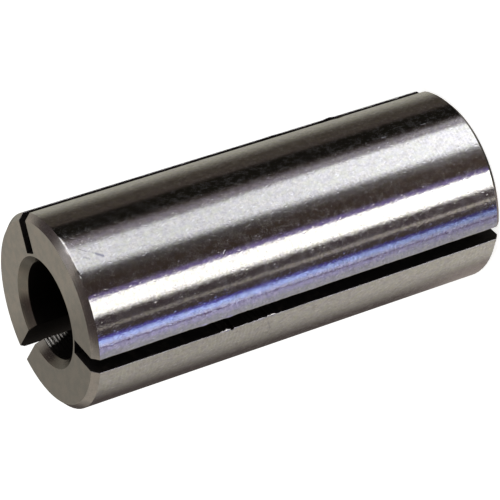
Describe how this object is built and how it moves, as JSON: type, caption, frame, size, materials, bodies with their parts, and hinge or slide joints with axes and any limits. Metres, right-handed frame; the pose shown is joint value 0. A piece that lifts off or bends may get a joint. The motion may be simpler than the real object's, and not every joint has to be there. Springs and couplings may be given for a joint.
{
  "type": "collet sleeve",
  "caption": "Slotted cylindrical steel sleeve that reduces a tool collet's bore to take a thinner round shank.",
  "frame": {"origin": "centre of the lower end face, on the sleeve's axis", "axes": "+Z along the bore axis from the lower end face to the upper one; +X through the middle of the slot that is cut right through the wall"},
  "size_m": [0.0126, 0.0126, 0.03],
  "materials": {
    "ground_steel": "hardened steel, ground outside, turned end faces, slightly handled"
  },
  "bodies": {
    "root": {"sleeve": "ground_steel"}
  },
  "joints": []
}
